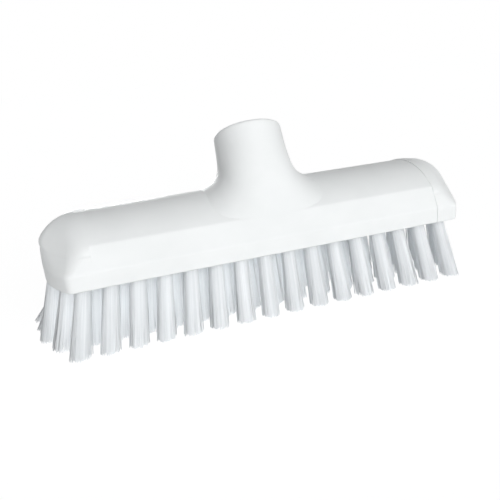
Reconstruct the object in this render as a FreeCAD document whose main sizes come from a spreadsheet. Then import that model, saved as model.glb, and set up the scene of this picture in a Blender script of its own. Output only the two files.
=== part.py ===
import FreeCAD
import Part
import math
import os
import Sketcher

# Deck scrub head: a moulded block with a leaning handle socket, bristle tufts in staggered
# rows, and a flat wire anchor that holds each tuft in its hole.
# Millimetres and degrees. X runs along the head, Y to the back, Z up.
# The origin is on the floor, under the middle of the block, at the trimmed bristle tips.

SIZES = {
    "tuft_end_margin": 6.0,
    "tuft_side_margin": 11.8,
    "trim_length": 38.0,
    "tuft_tip_diameter": 11.0,
    "end_splay": 12.0,
    "side_splay": 8.0,
    "hole_diameter": 7.4,
    "hole_depth": 15.0,
    "tuft_clearance": 0.05,
    "anchor_wire_width": 3.0,
    "anchor_wire_thickness": 0.5,
    "anchor_bite": 0.8,
    "tuft_fold": 3.0,
    "block_length": 250.0,
    "block_width": 72.0,
    "end_bulge": 13.1,
    "corner_round": 5.0,
    "band_height": 9.0,
    "slope_height": 12.0,
    "slope_inset": 6.0,
    "slope_end_inset": 0.5,
    "shoulder_bulge_gain": 7.0,
    "shoulder_corner_round": 16.0,
    "crown_rise": 12.0,
    "dome_reach": 22.0,
    "middle_length": 198.0,
    "middle_step": 0.4,
    "shoulder_round": 3.5,
    "band_round": 4.0,
    "underside_round": 0.8,
    "socket_diameter": 40.0,
    "socket_reach": 68.3,
    "socket_draft": 1.2,
    "socket_proud": 0.8,
    "socket_back_reach": 27.0,
    "web_spread": 20.0,
    "web_round": 5.5,
    "web_round_height": 12.0,
    "rim_round": 2.0,
    "bore_diameter": 28.2,
    "bore_depth": 40.0,
    "bore_lead_in": 1.0,
}

# Tufts per row, from the front row to the back row.
ROW_COUNTS = (16, 17, 18, 17, 16)

# How round the band's bulging ends are seen from above: 0 is a sharp point and 1 a single arc.
END_ROUNDNESS = 0.88

# Heights of the domed end's outlines: on the slope, as shares of its height, and above the
# shoulder, as shares of the crown's rise. None lies on the shoulder itself, so the ends round it.
# The corners grow softer towards the top.
SLOPE_LEVELS = (0.6, 0.8)
DOME_LEVELS = (0.12, 0.3, 0.55, 0.75, 0.9, 0.985)
DOME_SOFTNESS = 0.4

# The socket's sections, as shares of the way from its rim to the shoulder. The last one lies
# inside the block. The web spreads with a power of that share, and its corners grow squarer. It is
# rounded into the block by a power of its closeness to the block's top, which is 1 there.
SOCKET_SHARES = (0.0, 0.2, 0.4, 0.52, 0.62, 0.7, 0.78, 0.86, 0.93, 1.0, 1.08)
WEB_POWER = 5.5
ROUND_POWER = 3
MOST_CLOSENESS = 1.15
WEB_SQUARENESS = 1.5
SECTION_POINTS = 40
SOCKET_DEGREE = 3

# A tuft's bundle before trimming, as a share of its trimmed length, and the groups of filaments
# that show on its side, with the depth of the grooves between them as a share of its radius.
UNTRIMMED = 1.25
STRAND_GROUPS = 9
GROOVE_SHARE = 0.16

doc = FreeCAD.newDocument("deck_scrub")
sheet = doc.addObject("Spreadsheet::Sheet", "sheet")
for line, (alias, size) in enumerate(SIZES.items(), start=1):
    sheet.set(f"A{line}", alias)
    sheet.set(f"B{line}", str(size))
    sheet.setAlias(f"B{line}", alias)
doc.recompute()


class Size:
    """A length as a number, together with the expression that ties it to the sheet."""

    def __init__(self, number, text):
        self.number = number
        self.text = text

    def __add__(self, other):
        other = as_size(other)
        return Size(self.number + other.number, f"({self.text} + {other.text})")

    def __sub__(self, other):
        other = as_size(other)
        return Size(self.number - other.number, f"({self.text} - {other.text})")

    def __mul__(self, other):
        other = as_size(other)
        return Size(self.number * other.number, f"({self.text} * {other.text})")

    def __truediv__(self, other):
        other = as_size(other)
        return Size(self.number / other.number, f"({self.text} / {other.text})")

    def root(self):
        return Size(math.sqrt(self.number), f"sqrt({self.text})")

    def turn(self):
        """The angle, in degrees, whose tangent this is."""
        return Size(math.degrees(math.atan(self.number)), f"atan({self.text})")

    def sine(self):
        return Size(math.sin(math.radians(self.number)), f"sin({self.text})")

    def cosine(self):
        return Size(math.cos(math.radians(self.number)), f"cos({self.text})")


def as_size(value):
    return value if isinstance(value, Size) else Size(value, repr(float(value)))


def cell(alias):
    return Size(float(sheet.get(alias)), f"sheet.{alias}")


def number(alias):
    return cell(alias).number


def bind(thing, **sizes):
    for name, size in sizes.items():
        thing.setExpression(name, size.text)


def vector(x, y, z=0.0):
    return FreeCAD.Vector(x, y, z)


def arc_radius(half_chord, rise):
    """Radius of the arc that rises that far over its chord."""
    return (half_chord * half_chord + rise * rise) / (rise * 2)


def half_chord(radius, depth):
    """Half the width of an arc at a depth below its top."""
    return (depth * (radius * 2 - depth)).root()


underside = cell("trim_length")
band_top = underside + cell("band_height")
shoulder = band_top + cell("slope_height")
half_width = cell("block_width") / 2
half_length = cell("block_length") / 2
shoulder_half_width = half_width - cell("slope_inset")
shoulder_half_length = half_length - cell("slope_end_inset")
crown_rise = cell("crown_rise")
arch_radius = arc_radius(shoulder_half_width, crown_rise)
dome_radius = arc_radius(cell("dome_reach"), crown_rise)
shoulder_bulge = cell("end_bulge") + cell("shoulder_bulge_gain")
middle_half_width = half_width - cell("middle_step")

# The tufts fill the underside: the longest row reaches both end margins, the outer rows the sides'.
tuft_pitch = (half_length - cell("tuft_end_margin")) * 2 / (max(ROW_COUNTS) - 1)
row_pitch = (half_width - cell("tuft_side_margin")) * 2 / (len(ROW_COUNTS) - 1)
flank_lean = (cell("end_bulge") / half_width).turn() * (1 + END_ROUNDNESS)

# How sketch constraints count the points of a curve, the sketch's two axes and its origin.
START, END, CENTRE = range(1, 4)
LEVEL_AXIS, UPRIGHT_AXIS = range(-1, -3, -1)
ORIGIN = (LEVEL_AXIS, START)


def new_sketch(body, name, role):
    """A sketch on one of the body's own origin planes."""
    sketch = body.newObject("Sketcher::SketchObject", name)
    plane = next(item for item in body.Origin.OriginFeatures if item.Role == role)
    sketch.AttachmentSupport = [(plane, "")]
    sketch.MapMode = "FlatFace"
    return sketch


def dimension(sketch, size, *arguments):
    """One dimension of a sketch, bound to the sheet."""
    index = sketch.addConstraint(Sketcher.Constraint(*arguments, size.number))
    sketch.setExpression(f"Constraints[{index}]", size.text)


def relate(sketch, kind, *arguments):
    sketch.addConstraint(Sketcher.Constraint(kind, *arguments))


def arc_between(centre, radius, start_angle, end_angle):
    circle = Part.Circle(centre, vector(0, 0, 1), radius)
    return Part.ArcOfCircle(circle, start_angle, end_angle)


def plan_outline(body, name, level, length, width, bulge, corner):
    """Outline seen from above, from half sizes: straight sides and ends that bulge to a round tip."""
    sketch = new_sketch(body, name, "XY_Plane")
    bind(sketch, **{"AttachmentOffset.Base.z": level})
    sine, cosine = flank_lean.sine(), flank_lean.cosine()
    tip_radius = (width * sine - bulge * cosine) / (as_size(1) - cosine)
    tip_centre = length - tip_radius
    corner_y = width - corner
    corner_x = (tip_centre * cosine + tip_radius - corner - corner_y * sine) / cosine
    curves = []
    for end in (1, -1):
        turn = math.radians(flank_lean.number)
        middle = 0 if end == 1 else math.pi
        tip = vector(end * tip_centre.number, 0)
        first = vector(end * corner_x.number, -end * corner_y.number)
        last = vector(end * corner_x.number, end * corner_y.number)
        outward = vector(end * math.cos(turn), -end * math.sin(turn))
        onward = vector(end * math.cos(turn), end * math.sin(turn))
        side = vector(0, -end * width.number)
        curves += [
            Part.LineSegment(vector(-first.x, side.y), vector(first.x, side.y)),
            arc_between(first, corner.number, middle - math.pi / 2, middle - turn),
            Part.LineSegment(first + outward * corner.number, tip + outward * tip_radius.number),
            arc_between(tip, tip_radius.number, middle - turn, middle + turn),
            Part.LineSegment(tip + onward * tip_radius.number, last + onward * corner.number),
            arc_between(last, corner.number, middle + turn, middle + math.pi / 2),
        ]
    for curve in curves:
        sketch.addGeometry(curve)
    for curve in range(len(curves)):
        relate(sketch, "Tangent", curve, END, (curve + 1) % len(curves), START)
    front, front_right, right_tip, back_right = 0, 1, 3, 5
    back, back_left, left_tip, front_left = 6, 7, 9, 11
    relate(sketch, "Horizontal", front)
    relate(sketch, "Horizontal", back)
    relate(sketch, "PointOnObject", right_tip, CENTRE, LEVEL_AXIS)
    relate(sketch, "Symmetric", right_tip, CENTRE, left_tip, CENTRE, UPRIGHT_AXIS)
    relate(sketch, "Equal", right_tip, left_tip)
    for other in (back_right, back_left, front_left):
        relate(sketch, "Equal", front_right, other)
    for right_corner, left_corner in ((front_right, front_left), (back_right, back_left)):
        dimension(sketch, corner_x, "DistanceX", *ORIGIN, right_corner, CENTRE)
        dimension(sketch, corner_x, "DistanceX", left_corner, CENTRE, *ORIGIN)
    dimension(sketch, width, "DistanceY", *ORIGIN, back, START)
    dimension(sketch, width, "DistanceY", front, START, *ORIGIN)
    dimension(sketch, tip_centre, "DistanceX", *ORIGIN, right_tip, CENTRE)
    dimension(sketch, tip_radius, "Radius", right_tip)
    dimension(sketch, corner, "Radius", front_right)
    return sketch


def loft(body, name, sketches, ruled):
    feature = body.newObject("PartDesign::AdditiveLoft", name)
    feature.Profile = sketches[0]
    feature.Sections = sketches[1:]
    feature.Ruled = ruled
    return feature


def round_edges(body, name, base, radius, level):
    """Round the edges of a feature that lie at one level."""
    doc.recompute()
    picked = []
    for index, edge in enumerate(base.Shape.Edges, start=1):
        box = edge.BoundBox
        if abs(box.ZMin - level.number) < 0.01 and abs(box.ZMax - level.number) < 0.01:
            picked.append(f"Edge{index}")
    feature = body.newObject("PartDesign::Fillet", name)
    feature.Base = (base, picked)
    bind(feature, Radius=radius)
    doc.recompute()
    return feature


def round_levels(body, base, levels):
    """Round a body's level edges, each level by the size of that name."""
    for name, level in levels.items():
        base = round_edges(body, f"{body.Name}_{name}", base, cell(name), level)


def make_ends():
    """The block as its two ends show it: band, sloping sides and a domed crown."""
    body = doc.addObject("PartDesign::Body", "block_ends")
    band_plan = (half_length, half_width, cell("end_bulge"), cell("corner_round"))
    shoulder_plan = (
        shoulder_half_length, shoulder_half_width, shoulder_bulge, cell("shoulder_corner_round"))
    band = body.newObject("PartDesign::Pad", "band")
    band.Profile = plan_outline(body, "underside_outline", underside, *band_plan)
    bind(band, Length=cell("band_height"))
    outlines = []
    for count, share in enumerate(SLOPE_LEVELS, start=1):
        plan = [low + (high - low) * share for low, high in zip(band_plan, shoulder_plan)]
        level = band_top + cell("slope_height") * share
        outlines.append(plan_outline(body, f"slope_outline_{count}", level, *plan))
    for count, share in enumerate(DOME_LEVELS, start=1):
        depth = crown_rise * (1 - share)
        width = half_chord(arch_radius, depth)
        length = shoulder_half_length - cell("dome_reach") + half_chord(dome_radius, depth)
        bulge = shoulder_bulge / shoulder_half_width * width
        corner = (cell("shoulder_corner_round") / shoulder_half_width + DOME_SOFTNESS * share) * width
        level = shoulder + crown_rise * share
        outline = plan_outline(body, f"dome_outline_{count}", level, length, width, bulge, corner)
        outlines.append(outline)
    band_outline = plan_outline(body, "band_outline", band_top, *band_plan)
    loft(body, "slope", [band_outline, outlines[0]], ruled=True)
    crown = loft(body, "crown", outlines, ruled=False)
    round_levels(body, crown, {"underside_round": underside, "band_round": band_top})
    return body


def make_middle():
    """The middle of the block, between the two seams: the same section, set in by a small step."""
    body = doc.addObject("PartDesign::Body", "block_middle")
    sketch = new_sketch(body, "middle_section", "YZ_Plane")
    step = cell("middle_step")
    top_width = shoulder_half_width - step
    radius = arc_radius(top_width, crown_rise - step)
    y, top = middle_half_width.number, top_width.number
    low, band, high = underside.number, band_top.number, shoulder.number
    crown = vector(0, high + (crown_rise - step).number)
    curves = [
        Part.LineSegment(vector(-y, low), vector(y, low)),
        Part.LineSegment(vector(y, low), vector(y, band)),
        Part.LineSegment(vector(y, band), vector(top, high)),
        Part.Arc(vector(top, high), crown, vector(-top, high)),
        Part.LineSegment(vector(-top, high), vector(-y, band)),
        Part.LineSegment(vector(-y, band), vector(-y, low)),
    ]
    for curve in curves:
        sketch.addGeometry(curve)
    base, right_band, right_slope, arch, left_slope, left_band = range(len(curves))
    for curve in range(len(curves)):
        relate(sketch, "Coincident", curve, END, (curve + 1) % len(curves), START)
    relate(sketch, "Symmetric", base, START, base, END, UPRIGHT_AXIS)
    relate(sketch, "Symmetric", arch, START, arch, END, UPRIGHT_AXIS)
    relate(sketch, "Vertical", right_band)
    relate(sketch, "Vertical", left_band)
    relate(sketch, "Equal", right_band, left_band)
    dimension(sketch, middle_half_width * 2, "DistanceX", base, START, base, END)
    dimension(sketch, underside, "DistanceY", *ORIGIN, base, START)
    dimension(sketch, cell("band_height"), "DistanceY", right_band, START, right_band, END)
    dimension(sketch, cell("slope_height"), "DistanceY", right_slope, START, right_slope, END)
    dimension(sketch, top_width, "DistanceX", *ORIGIN, arch, START)
    dimension(sketch, radius, "Radius", arch)
    bar = body.newObject("PartDesign::Pad", "middle_bar")
    bar.Profile = sketch
    bar.SideType = "Symmetric"
    bind(bar, Length=cell("middle_length"))
    levels = {"underside_round": underside, "band_round": band_top, "shoulder_round": shoulder}
    round_levels(body, bar, levels)
    return body


slope_lean = math.atan2(number("slope_inset"), number("slope_height"))
slope_length = number("slope_height") / math.cos(slope_lean)
socket_axis = vector(0, math.sin(slope_lean), math.cos(slope_lean))
along_socket = FreeCAD.Rotation(vector(0, 0, 1), socket_axis)


def slope_point(climb, depth):
    """A point in the middle plane, from its climb up the front slope and its depth behind it."""
    foot = vector(0, -middle_half_width.number, band_top.number)
    inward = vector(0, math.cos(slope_lean), -math.sin(slope_lean))
    return foot + socket_axis * climb + inward * depth


mouth = slope_point(number("socket_reach"), number("socket_diameter") / 2 - number("socket_proud"))


def web_rounding(point):
    """How far the web is rounded out at a point: not at all high up, and most inside the block."""
    across = min(abs(point.y), shoulder_half_width.number)
    drop = arch_radius.number - math.sqrt(arch_radius.number ** 2 - across ** 2)
    height = point.z - shoulder.number - crown_rise.number + drop
    closeness = max(1 - height / number("web_round_height"), 0)
    return number("web_round") * min(closeness, MOST_CLOSENESS) ** ROUND_POWER


def socket_section(share):
    """One closed section of the socket, from a round rim to a wide, squarer foot."""
    front_depth = -number("socket_proud") * (1 - share)
    reach = number("socket_reach")
    front = slope_point(reach - share * (reach - slope_length), front_depth)
    back = slope_point(
        reach - share * number("socket_back_reach"), front_depth + number("socket_diameter"))
    centre = (front + back) / 2
    half_depth = (back - front) / 2
    half_span = number("socket_diameter") / 2 + number("socket_draft") * share
    half_span += number("web_spread") * share ** WEB_POWER
    power = 2 / (2 + WEB_SQUARENESS * share ** 2)
    points = []
    for count in range(SECTION_POINTS):
        angle = 2 * math.pi * count / SECTION_POINTS
        side = math.copysign(abs(math.cos(angle)) ** power, math.cos(angle))
        rear = math.copysign(abs(math.sin(angle)) ** power, math.sin(angle))
        point = centre + vector(half_span * side, 0) + half_depth * rear
        rounding = web_rounding(point)
        points.append(point + vector(rounding * side, 0))
    curve = Part.BSplineCurve()
    curve.interpolate(Points=points, PeriodicFlag=True, Parameters=range(SECTION_POINTS + 1))
    return Part.Wire([curve.toShape()])


def make_socket():
    """The handle socket with its web and its rounded rim, still without its bore."""
    sections = []
    for count, share in enumerate(SOCKET_SHARES, start=1):
        section = doc.addObject("Part::Feature", f"socket_section_{count}")
        section.Shape = socket_section(share)
        sections.append(section)
    body = doc.addObject("Part::Loft", "socket_body")
    body.Sections = sections
    body.Solid = True
    body.Ruled = False
    body.MaxDegree = SOCKET_DEGREE
    doc.recompute()
    rim = doc.addObject("Part::Fillet", "socket_rim")
    rim.Base = body
    radius = number("rim_round")
    rim.Edges = [
        (index, radius, radius)
        for index, edge in enumerate(body.Shape.Edges, start=1)
        if (edge.CenterOfMass - mouth).Length < radius
    ]
    return rim


def make_bore():
    """The blind hole for the handle, with a short lead-in at its mouth."""
    bore = doc.addObject("Part::Cylinder", "handle_bore")
    radius = cell("bore_diameter") / 2
    lead_in = cell("bore_lead_in")
    bind(bore, Radius=radius, Height=cell("bore_depth") + lead_in)
    bore.Placement = FreeCAD.Placement(mouth - socket_axis * number("bore_depth"), along_socket)
    bevel = doc.addObject("Part::Cone", "bore_bevel")
    bind(bevel, Radius1=radius, Radius2=radius + lead_in * 2, Height=lead_in * 2)
    bevel.Placement = FreeCAD.Placement(mouth - socket_axis * lead_in.number, along_socket)
    return join("bore_space", bore, bevel)


def join(name, *items):
    fused = doc.addObject("Part::MultiFuse", name)
    fused.Shapes = list(items)
    return fused


def group(name, items):
    compound = doc.addObject("Part::Compound", name)
    compound.Links = list(items)
    return compound


def cut(name, base, tool):
    result = doc.addObject("Part::Cut", name)
    result.Base = base
    result.Tool = tool
    return result


def box(name, length, width, height):
    result = doc.addObject("Part::Box", name)
    bind(result, Length=length, Width=width, Height=height)
    return result


def bundle_ring(radius):
    """A bundle's outline: one round lobe for each group of filaments."""
    points = []
    for count in range(2 * STRAND_GROUPS + 1):
        angle = math.pi * count / STRAND_GROUPS
        reach = radius * (1 - GROOVE_SHARE * ((count + 1) % 2))
        points.append(vector(reach * math.cos(angle), reach * math.sin(angle)))
    points[-1] = points[0]
    lobes = [Part.Arc(*points[start:start + 3]).toShape() for start in range(0, len(points) - 1, 2)]
    return Part.Wire(lobes)


class Tuft:
    """One tuft: its place, its splayed direction, its hole, its bundle and its anchor."""

    def __init__(self, row, count):
        middle_row = (len(ROW_COUNTS) - 1) / 2
        steps = count - (ROW_COUNTS[row] - 1) / 2
        outer_steps = (ROW_COUNTS[0] - 1) / 2
        self.row = row
        self.column = round(2 * steps)
        self.name = f"r{row + 1}_{count + 1:02d}"
        self.root = vector(
            steps * tuft_pitch.number, (row - middle_row) * row_pitch.number, underside.number)
        sideways = number("end_splay") * steps / outer_steps
        backwards = number("side_splay") * (row - middle_row) / middle_row
        self.turn = FreeCAD.Rotation(0, -sideways, backwards)
        self.hole = self.make_hole()
        self.anchor = self.make_anchor()
        self.bundle = self.make_bundle()

    def place(self, item, x, y, z):
        """Put an item where the tuft's own axes say, with z up the hole from the underside."""
        item.Placement = FreeCAD.Placement(self.root + self.turn.multVec(vector(x, y, z)), self.turn)

    def make_hole(self):
        hole = doc.addObject("Part::Cylinder", f"hole_{self.name}")
        radius = cell("hole_diameter") / 2
        bind(hole, Radius=radius, Height=cell("hole_depth") + radius)
        self.place(hole, 0, 0, -radius.number)
        return hole

    def make_anchor(self):
        span = cell("hole_diameter") + cell("anchor_bite") * 2
        thickness = cell("anchor_wire_thickness")
        anchor = box(f"anchor_{self.name}", span, thickness, cell("anchor_wire_width"))
        level = number("hole_depth") - number("tuft_fold") - number("anchor_wire_width")
        self.place(anchor, -span.number / 2, -thickness.number / 2, level)
        return anchor

    def make_bundle(self):
        root_radius = cell("hole_diameter") / 2 - cell("tuft_clearance")
        stem = doc.addObject("Part::Cylinder", f"stem_{self.name}")
        bind(stem, Radius=root_radius, Height=cell("hole_depth") - cell("tuft_clearance"))
        self.place(stem, 0, 0, 0)
        tip_radius = root_radius + (cell("tuft_tip_diameter") / 2 - root_radius) * UNTRIMMED
        rings = []
        for end, radius, level in (("root", root_radius, 0), ("tip", tip_radius, UNTRIMMED)):
            ring = doc.addObject("Part::Feature", f"{end}_ring_{self.name}")
            ring.Shape = bundle_ring(radius.number)
            self.place(ring, 0, 0, -level * number("trim_length"))
            rings.append(ring)
        brush = doc.addObject("Part::Loft", f"bundle_{self.name}")
        brush.Sections = rings
        brush.Solid = True
        brush.Ruled = True
        return [stem, brush]


def make_floor():
    """All the space below the trimmed tips."""
    floor = box("below_tips", cell("block_length") * 2, cell("block_width") * 2, underside)
    floor.Placement.Base = vector(-number("block_length"), -number("block_width"), -underside.number)
    return floor


def make_block(tufts):
    """The moulded block with its socket, bore, tuft holes and anchor slots."""
    ends = make_ends()
    middle = make_middle()
    gap = box("middle_space", cell("middle_length"), half_width * 4, crown_rise * 2 + shoulder)
    gap.Placement.Base = vector(-number("middle_length") / 2, -2 * half_width.number, 0)
    solid = join("block_solid", cut("end_pieces", ends, gap), middle, make_socket())
    bored = cut("bored_block", solid, make_bore())
    drilled = cut("drilled_block", bored, group("tuft_holes", [tuft.hole for tuft in tufts]))
    return cut("brush_block", drilled, group("anchor_slots", [tuft.anchor for tuft in tufts]))


def make_column(name, tufts, floor):
    """The tufts that stand behind one another across the head, trimmed level."""
    bundles = [piece for tuft in tufts for piece in tuft.bundle]
    waste = group(f"{name}_waste", [floor] + [tuft.anchor for tuft in tufts])
    return cut(name, join(f"{name}_bundles", *bundles), waste)


def main():
    tufts = [Tuft(row, count) for row, total in enumerate(ROW_COUNTS) for count in range(total)]
    floor = make_floor()
    nodes = [make_block(tufts)]
    for place, column in enumerate(sorted({tuft.column for tuft in tufts}), start=1):
        members = [tuft for tuft in tufts if tuft.column == column]
        nodes.append(make_column(f"tuft_column_{place:02d}", members, floor))
    for row in range(len(ROW_COUNTS)):
        anchors = [tuft.anchor for tuft in tufts if tuft.row == row]
        nodes.append(group(f"anchor_row_{row + 1}", anchors))
    doc.recompute()
    for item in doc.Objects:
        if "Invalid" in item.State or "Error" in item.State:
            raise RuntimeError(f"{item.Name} failed: {item.State}")
    for node in nodes:
        if node.Shape.isNull() or not node.Shape.isValid():
            raise RuntimeError(f"{node.Name} has no valid shape")
    os.makedirs("parts", exist_ok=True)
    for node in nodes:
        node.Label = node.Name
        node.Shape.exportStep(f"parts/{node.Label}.step")
        print(node.Label, len(node.Shape.Solids), "solids", round(node.Shape.Volume, 1), "mm3")


main()
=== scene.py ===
import math

import bpy
import numpy as np
from mathutils import Matrix, Vector


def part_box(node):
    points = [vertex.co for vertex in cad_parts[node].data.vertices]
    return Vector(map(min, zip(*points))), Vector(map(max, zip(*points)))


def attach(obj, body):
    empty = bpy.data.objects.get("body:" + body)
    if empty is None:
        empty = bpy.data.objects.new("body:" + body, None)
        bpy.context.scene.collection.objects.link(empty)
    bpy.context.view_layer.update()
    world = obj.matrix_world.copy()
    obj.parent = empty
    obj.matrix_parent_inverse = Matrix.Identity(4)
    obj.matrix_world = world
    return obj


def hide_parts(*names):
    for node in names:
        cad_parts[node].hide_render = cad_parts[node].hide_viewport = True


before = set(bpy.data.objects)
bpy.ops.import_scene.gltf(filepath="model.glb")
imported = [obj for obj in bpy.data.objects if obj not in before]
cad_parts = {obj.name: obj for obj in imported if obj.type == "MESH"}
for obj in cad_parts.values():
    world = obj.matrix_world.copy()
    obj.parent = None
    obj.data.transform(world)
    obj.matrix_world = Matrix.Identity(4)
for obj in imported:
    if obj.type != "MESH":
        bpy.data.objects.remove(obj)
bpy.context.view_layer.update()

# Deck scrub head in white plastic: the moulded block keeps its own solid, and every tuft is
# dressed as a bundle of separate filaments. Lengths are in metres where nothing else is said.
# +X runs along the head, +Y to the back and +Z up.

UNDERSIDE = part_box("brush_block")[0].z

# Photograph and camera: image and focal length in pixels, sensor in millimetres, angles in degrees.
IMAGE_SIZE = 500
FOCAL_PIXELS = 520.0
SENSOR_WIDTH = 36.0
CAMERA_PLACE = Vector((-0.09053, -0.28748, 0.13649))
CAMERA_YAW = 16.02
CAMERA_PITCH = 19.56
CAMERA_ROLL = -5.37
NEAREST_SEEN = 0.01

# Filaments of one tuft: how many, their form, where along the tuft their rings lie, and the turn
# in radians from one filament to the next.
FILAMENTS = 150
FILAMENT_RADIUS = 0.00027
FILAMENT_SIDES = 5
FILAMENT_STATIONS = (-0.12, 0.0, 0.25, 0.6, 1.0)
GOLDEN_ANGLE = math.pi * (3 - math.sqrt(5))
SEED = 7

# How the filaments open towards their tips, and how uneven they are there and on the way.
SPREAD_POWER = 1.15
TIP_SCATTER = 0.0004
SIDE_WANDER = 0.00022
TRIM_UNEVENNESS = 0.001

# Tufts in front of this place are the front row. Tips there, and those behind it, have these
# shares of the solid's width.
FRONT_ROW = -0.02
FRONT_TIP_SHARE = 0.87
INNER_TIP_SHARE = 1.06

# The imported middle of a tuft: where along it each ring lies, and its share of the tuft's radius.
CORE_RINGS = ((-0.08, 0.84), (0.0, 0.84), (0.3, 0.84), (0.6, 0.82), (0.8, 0.7), (0.92, 0.3))
CORE_SIDES = 16
CORE_TONE = 0.5

# How far a filament is shaded as part of its tuft's round form, from 0 to 1.
BUNDLE_ROUNDNESS = 0.65

# Tufts past this place at the left end and behind the middle lean outwards, more so further back.
BENT_END = -0.1
BENT_SLOPE = 0.8

# Lamps: direction from the front round to the right, height above the floor and width, all in
# degrees, and strength. The key is in front; the back lamp is low, for what faces away.
KEY_LIGHT = (8.0, 10.0, 60.0, 2.0)
BACK_LIGHT = (180.0, 2.0, 12.0, 1.7)

# Fill from the surroundings: from behind and overhead, and from straight in front.
FILL_BEHIND = 0.12
FILL_FRONT = 1.18
FILL_TINT = (0.97, 0.985, 1.0, 1)

# How often light may bounce between matt surfaces, for white filaments that light each other.
DIFFUSE_BOUNCES = 12

# The floor: half its side, its grey for bounced light and for rays that see the background, and
# the glow that makes it read as white.
FLOOR_HALF = 6.0
FLOOR_GREY = (0.8, 0.8, 0.8)
FLOOR_SEEN_GREY = (0.2, 0.2, 0.2)
FLOOR_GLOW = 0.9
FLOOR_ROUGHNESS = 0.9
WHITE = (1, 1, 1, 1)

# Surfaces: the two ends between which colour and roughness vary.
BLOCK_COLOURS = ((0.835, 0.85, 0.845), (0.87, 0.882, 0.878))
BLOCK_ROUGHNESS = (0.46, 0.6)
BLOCK_SPECULAR = 0.2
BLOCK_IOR = 1.49
GRAIN_DEPTH = 0.00004
GRAIN_STRENGTH = 0.25
BRISTLE_COLOURS = ((0.82, 0.845, 0.86), (0.885, 0.905, 0.92))
BRISTLE_ROUGHNESS = (0.3, 0.5)
BRISTLE_IOR = 1.5
WIRE_COLOURS = ((0.5, 0.5, 0.49), (0.68, 0.68, 0.66))
WIRE_ROUGHNESS = (0.25, 0.45)

# Noise textures, as cells per metre and octaves.
BLOCK_CLOUDS = (45, 3)
BLOCK_GLOSS = (160, 4)
BLOCK_GRAIN = (2600, 2)
BRISTLE_GLOSS = (900, 2)
WIRE_MARKS = (1800, 3)
WIRE_GLOSS = (2500, 2)

# The stretch of a factor over which a ramp changes colour.
RAMP_STRETCH = (0.3, 0.7)

# How close to a level a vertex of a tuft's solid counts as its rim there, the least gap between
# two tufts of one column, and the digits in which vertices at one place agree.
LEVEL_REACH = 0.0015
ROW_GAP = 0.005
SAME_POINT_DIGITS = 6


def principled(name):
    """A new node material and its shader."""
    material = bpy.data.materials.new(name)
    material.use_nodes = True
    return material, material.node_tree, material.node_tree.nodes["Principled BSDF"]


def noise(tree, scale, detail):
    """A noise texture in the object's own metres."""
    place = tree.nodes.new("ShaderNodeTexCoord")
    texture = tree.nodes.new("ShaderNodeTexNoise")
    texture.inputs["Scale"].default_value = scale
    texture.inputs["Detail"].default_value = detail
    tree.links.new(place.outputs["Object"], texture.inputs["Vector"])
    return texture.outputs["Fac"]


def ramp(tree, factor, low, high):
    """A colour ramp from one colour to another, over the middle of a factor's range."""
    node = tree.nodes.new("ShaderNodeValToRGB")
    for element, place, colour in zip(node.color_ramp.elements, RAMP_STRETCH, (low, high)):
        element.position = place
        element.color = (*colour, 1)
    tree.links.new(factor, node.inputs["Fac"])
    return node.outputs["Color"]


def spread(tree, factor, low, high):
    """A value that runs from low to high with a factor."""
    node = tree.nodes.new("ShaderNodeMapRange")
    node.inputs["To Min"].default_value = low
    node.inputs["To Max"].default_value = high
    tree.links.new(factor, node.inputs["Value"])
    return node.outputs["Result"]


def bump(tree, height, distance, strength):
    """A normal that follows a height."""
    node = tree.nodes.new("ShaderNodeBump")
    node.inputs["Distance"].default_value = distance
    node.inputs["Strength"].default_value = strength
    tree.links.new(height, node.inputs["Height"])
    return node.outputs["Normal"]


def block_material():
    """White moulded plastic: a faint cloudiness, a fine satin grain and uneven gloss."""
    material, tree, shader = principled("white_moulded_plastic")
    colour = ramp(tree, noise(tree, *BLOCK_CLOUDS), *BLOCK_COLOURS)
    tree.links.new(colour, shader.inputs["Base Color"])
    gloss = spread(tree, noise(tree, *BLOCK_GLOSS), *BLOCK_ROUGHNESS)
    tree.links.new(gloss, shader.inputs["Roughness"])
    grain = bump(tree, noise(tree, *BLOCK_GRAIN), GRAIN_DEPTH, GRAIN_STRENGTH)
    tree.links.new(grain, shader.inputs["Normal"])
    shader.inputs["IOR"].default_value = BLOCK_IOR
    shader.inputs["Specular IOR Level"].default_value = BLOCK_SPECULAR
    return material


def bristle_material():
    """Cool white filament, with each strand a little different."""
    material, tree, shader = principled("white_filament")
    strand = tree.nodes.new("ShaderNodeAttribute")
    strand.attribute_name = "strand"
    colour = ramp(tree, strand.outputs["Fac"], *BRISTLE_COLOURS)
    tree.links.new(colour, shader.inputs["Base Color"])
    gloss = spread(tree, noise(tree, *BRISTLE_GLOSS), *BRISTLE_ROUGHNESS)
    tree.links.new(gloss, shader.inputs["Roughness"])
    shader.inputs["IOR"].default_value = BRISTLE_IOR
    return material


def anchor_material():
    """Flat metal wire with fine marks."""
    material, tree, shader = principled("drawn_wire")
    colour = ramp(tree, noise(tree, *WIRE_MARKS), *WIRE_COLOURS)
    tree.links.new(colour, shader.inputs["Base Color"])
    gloss = spread(tree, noise(tree, *WIRE_GLOSS), *WIRE_ROUGHNESS)
    tree.links.new(gloss, shader.inputs["Roughness"])
    shader.inputs["Metallic"].default_value = 1.0
    return material


def dress(node, material):
    """Give a CAD node one material."""
    node.data.materials.clear()
    node.data.materials.append(material)


def rim_at(points, level):
    """Centre and radius of the part of a tuft's solid that lies at a level."""
    rim = points[np.abs(points[:, 2] - level) < LEVEL_REACH]
    rim = np.unique(rim.round(SAME_POINT_DIGITS), axis=0)
    centre = rim.mean(axis=0)
    return centre, np.linalg.norm((rim - centre)[:, :2], axis=1).max()


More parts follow.
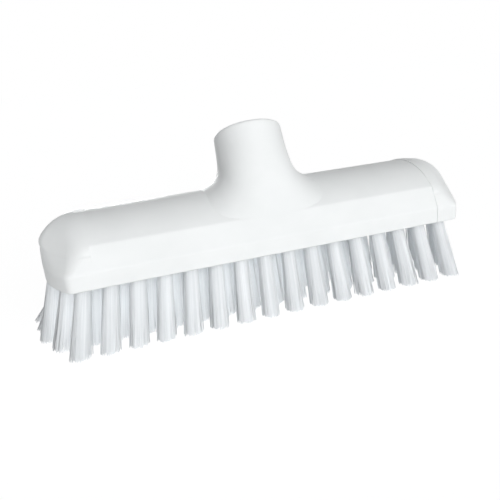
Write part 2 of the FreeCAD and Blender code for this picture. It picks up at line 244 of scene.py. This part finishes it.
def tufts_of(node):
    """The root and tip of each tuft in a CAD column, as (centre, radius) pairs, front to back."""
    points = np.array([vertex.co for vertex in node.data.vertices])
    points = points[np.argsort(points[:, 1])]
    splits = np.where(np.diff(points[:, 1]) > ROW_GAP)[0] + 1
    tufts = []
    for cluster in np.split(points, splits):
        root, root_radius = rim_at(cluster, UNDERSIDE)
        tip, tip_radius = rim_at(cluster, 0.0)
        if root[0] < BENT_END:
            tip = tip - np.array([BENT_SLOPE * max(root[1], 0), 0, 0])
        tip_share = FRONT_TIP_SHARE if root[1] < FRONT_ROW else INNER_TIP_SHARE
        tufts.append(((root, root_radius), (tip, tip_radius * tip_share)))
    return tufts


def filament_lines(tuft, random):
    """Centre lines of one tuft's filaments, as an array of filaments, stations and coordinates."""
    (root, root_radius), (tip, tip_radius) = tuft
    count = np.arange(FILAMENTS)
    share = np.sqrt((count + 0.5) / FILAMENTS)
    angle = count * GOLDEN_ANGLE + random.uniform(0, 2 * math.pi)
    outward = np.stack([np.cos(angle), np.sin(angle), np.zeros(FILAMENTS)], axis=1) * share[:, None]
    root_places = root + outward * (root_radius - FILAMENT_RADIUS)
    tip_places = tip + outward * (tip_radius - FILAMENT_RADIUS)
    tip_places[:, :2] += random.normal(0, TIP_SCATTER, (FILAMENTS, 2))
    tip_places[:, 2] = random.uniform(0, TRIM_UNEVENNESS, FILAMENTS)
    wander = random.normal(0, SIDE_WANDER, (FILAMENTS, 2))
    opening = tip_places - root_places - (tip - root)
    lines = np.empty((FILAMENTS, len(FILAMENT_STATIONS), 3))
    for station, along in enumerate(FILAMENT_STATIONS):
        opened = max(along, 0.0) ** SPREAD_POWER
        place = root_places + (tip - root) * along + opening * opened
        place[:, :2] += wander * math.sin(math.pi * max(along, 0.0))
        lines[:, station] = place
    return lines


def core_rings(tuft):
    """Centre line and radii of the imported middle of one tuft."""
    (root, root_radius), (tip, tip_radius) = tuft
    along = np.array([ring[0] for ring in CORE_RINGS])
    shares = np.array([ring[1] for ring in CORE_RINGS])
    line = root + (tip - root) * along[:, None]
    radii = (root_radius + (tip_radius - root_radius) * along.clip(0) ** SPREAD_POWER) * shares
    return line, radii


def tubes(lines, radii, sides):
    """Points and faces of closed tubes with level rings, along lines that run down."""
    count, stations = lines.shape[:2]
    turn = np.arange(sides) * 2 * math.pi / sides
    circle = np.stack([np.cos(turn), np.sin(turn), np.zeros(sides)], axis=1)
    points = lines[:, :, None, :] + radii[:, :, None, None] * circle
    faces = []
    for first in range(0, count * stations * sides, stations * sides):
        last = first + (stations - 1) * sides
        for low in range(first, last, sides):
            for side in range(sides):
                following = (side + 1) % sides
                faces.append((low + side, low + sides + side, low + sides + following, low + following))
        faces.append(tuple(range(first, first + sides)))
        faces.append(tuple(range(last + sides - 1, last - 1, -1)))
    return points.reshape(-1, 3), faces


def unit(vectors):
    """The same vectors, scaled to length one."""
    return vectors / np.linalg.norm(vectors, axis=-1, keepdims=True)


def bundle_normals(bundles, points):
    """Shading normals that lean from each filament's own roundness to that of its whole tuft."""
    lines = np.concatenate(bundles)
    axes = np.concatenate([np.broadcast_to(bundle.mean(axis=0), bundle.shape) for bundle in bundles])
    reach = np.concatenate([np.full(bundle.shape[:2], np.ptp(bundle[:, 0, 0]) / 2) for bundle in bundles])
    outward = (lines - axes) / reach[:, :, None]
    own = unit(points.reshape(*lines.shape[:2], FILAMENT_SIDES, 3) - lines[:, :, None, :])
    leaning = own * (1 - BUNDLE_ROUNDNESS) + outward[:, :, None, :] * BUNDLE_ROUNDNESS
    return unit(leaning).reshape(-1, 3)


def filament_parts(tufts, random):
    """Points, faces, shading normals and tones of the filaments of some tufts."""
    bundles = [filament_lines(tuft, random) for tuft in tufts]
    lines = np.concatenate(bundles)
    points, faces = tubes(lines, np.full(lines.shape[:2], FILAMENT_RADIUS), FILAMENT_SIDES)
    tones = np.repeat(random.uniform(0, 1, len(lines)), len(FILAMENT_STATIONS) * FILAMENT_SIDES)
    return points, faces, bundle_normals(bundles, points), tones


def core_parts(tufts):
    """Points, faces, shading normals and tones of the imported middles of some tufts."""
    cores = [core_rings(tuft) for tuft in tufts]
    lines = np.array([line for line, _ in cores])
    radii = np.array([rings for _, rings in cores])
    points, faces = tubes(lines, radii, CORE_SIDES)
    normals = unit(points - np.repeat(lines.reshape(-1, 3), CORE_SIDES, axis=0))
    return points, faces, normals, np.full(len(points), CORE_TONE)


def bristle_mesh(name, tufts, random):
    """One column's tufts: filaments round packed middles, with a tone stored at each point."""
    points, faces, normals, tones = filament_parts(tufts, random)
    core_points, core_faces, core_normals, core_tones = core_parts(tufts)
    faces += [tuple(len(points) + corner for corner in face) for face in core_faces]
    mesh = bpy.data.meshes.new(name)
    mesh.from_pydata(np.concatenate([points, core_points]).tolist(), [], faces)
    strand = mesh.attributes.new("strand", "FLOAT", "POINT")
    strand.data.foreach_set("value", np.concatenate([tones, core_tones]))
    mesh.shade_smooth()
    mesh.normals_split_custom_set_from_vertices(np.concatenate([normals, core_normals]).tolist())
    return mesh


def make_bristles(material):
    """Replace each column of tufts by its filaments.

    The filaments cast no shadow, which stands for the light that real ones let through.
    """
    random = np.random.default_rng(SEED)
    columns = sorted(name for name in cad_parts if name.startswith("tuft_column_"))
    for column in columns:
        tufts = tufts_of(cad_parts[column])
        mesh = bristle_mesh(column.replace("tuft", "filaments"), tufts, random)
        mesh.materials.append(material)
        piece = bpy.data.objects.new(mesh.name, mesh)
        bpy.context.scene.collection.objects.link(piece)
        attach(piece, "root")
        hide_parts(column)
        piece.visible_shadow = False


def background_rays(tree):
    """1 for rays that should see the plain background: camera, mirror and glass rays."""
    paths = tree.nodes.new("ShaderNodeLightPath")
    total = paths.outputs["Is Camera Ray"]
    for name in ("Is Glossy Ray", "Is Transmission Ray"):
        greater = tree.nodes.new("ShaderNodeMath")
        greater.operation = "MAXIMUM"
        tree.links.new(total, greater.inputs[0])
        tree.links.new(paths.outputs[name], greater.inputs[1])
        total = greater.outputs["Value"]
    return total


def make_floor():
    """A pale floor that reads as white and still takes the object's shadow."""
    mesh = bpy.data.meshes.new("floor")
    corners = [(x * FLOOR_HALF, y * FLOOR_HALF, 0) for x, y in ((-1, -1), (1, -1), (1, 1), (-1, 1))]
    mesh.from_pydata(corners, [], [(0, 1, 2, 3)])
    floor = bpy.data.objects.new("floor", mesh)
    bpy.context.scene.collection.objects.link(floor)
    material, tree, shader = principled("pale_floor")
    seen = background_rays(tree)
    tree.links.new(ramp(tree, seen, FLOOR_GREY, FLOOR_SEEN_GREY), shader.inputs["Base Color"])
    shader.inputs["Roughness"].default_value = FLOOR_ROUGHNESS
    shader.inputs["Specular IOR Level"].default_value = 0.0
    glow = spread(tree, seen, 0.0, FLOOR_GLOW)
    shader.inputs["Emission Color"].default_value = WHITE
    tree.links.new(glow, shader.inputs["Emission Strength"])
    mesh.materials.append(material)


def make_world():
    """White behind the object, and a soft fill that comes mostly from the front."""
    world = bpy.data.worlds.new("studio")
    bpy.context.scene.world = world
    world.use_nodes = True
    tree = world.node_tree
    fill = tree.nodes["Background"]
    place = tree.nodes.new("ShaderNodeTexCoord")
    parts = tree.nodes.new("ShaderNodeSeparateXYZ")
    tree.links.new(place.outputs["Generated"], parts.inputs["Vector"])
    strength = tree.nodes.new("ShaderNodeMapRange")
    strength.inputs["From Min"].default_value = 0.0
    strength.inputs["From Max"].default_value = -1.0
    strength.inputs["To Min"].default_value = FILL_BEHIND
    strength.inputs["To Max"].default_value = FILL_FRONT
    tree.links.new(parts.outputs["Y"], strength.inputs["Value"])
    tree.links.new(strength.outputs["Result"], fill.inputs["Strength"])
    fill.inputs["Color"].default_value = FILL_TINT
    white = tree.nodes.new("ShaderNodeBackground")
    white.inputs["Color"].default_value = WHITE
    mix = tree.nodes.new("ShaderNodeMixShader")
    tree.links.new(background_rays(tree), mix.inputs["Fac"])
    tree.links.new(fill.outputs["Background"], mix.inputs[1])
    tree.links.new(white.outputs["Background"], mix.inputs[2])
    tree.links.new(mix.outputs["Shader"], tree.nodes["World Output"].inputs["Surface"])


def make_light(name, direction, elevation, width, strength):
    """A soft lamp, far away, with its angles in degrees."""
    direction, elevation = math.radians(direction), math.radians(elevation)
    light = bpy.data.lights.new(name, "SUN")
    light.energy = strength
    light.angle = math.radians(width)
    lamp = bpy.data.objects.new(name, light)
    away = Vector((math.sin(direction), -math.cos(direction), math.tan(elevation)))
    lamp.rotation_euler = away.to_track_quat("Z", "Y").to_euler()
    bpy.context.scene.collection.objects.link(lamp)


def make_camera():
    """The photograph's viewpoint."""
    yaw, pitch, roll = (math.radians(angle) for angle in (CAMERA_YAW, CAMERA_PITCH, CAMERA_ROLL))
    forward = Vector((math.sin(yaw) * math.cos(pitch), math.cos(yaw) * math.cos(pitch), -math.sin(pitch)))
    level = Vector((math.cos(yaw), -math.sin(yaw), 0))
    upright = level.cross(forward)
    right = level * math.cos(roll) + upright * math.sin(roll)
    up = upright * math.cos(roll) - level * math.sin(roll)
    camera = bpy.data.objects.new("camera", bpy.data.cameras.new("camera"))
    camera.data.sensor_width = SENSOR_WIDTH
    camera.data.lens = SENSOR_WIDTH * FOCAL_PIXELS / IMAGE_SIZE
    camera.data.clip_start = NEAREST_SEEN
    turn = Matrix((right, up, -forward)).transposed().to_4x4()
    camera.matrix_world = Matrix.Translation(CAMERA_PLACE) @ turn
    bpy.context.scene.collection.objects.link(camera)
    bpy.context.scene.camera = camera


bpy.context.scene.view_settings.view_transform = "Standard"
bpy.context.scene.cycles.diffuse_bounces = DIFFUSE_BOUNCES
make_camera()
make_world()
make_light("key", *KEY_LIGHT)
make_light("back", *BACK_LIGHT)
make_floor()
dress(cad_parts["brush_block"], block_material())
wire = anchor_material()
for name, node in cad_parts.items():
    if name.startswith("anchor_row_"):
        dress(node, wire)
make_bristles(bristle_material())
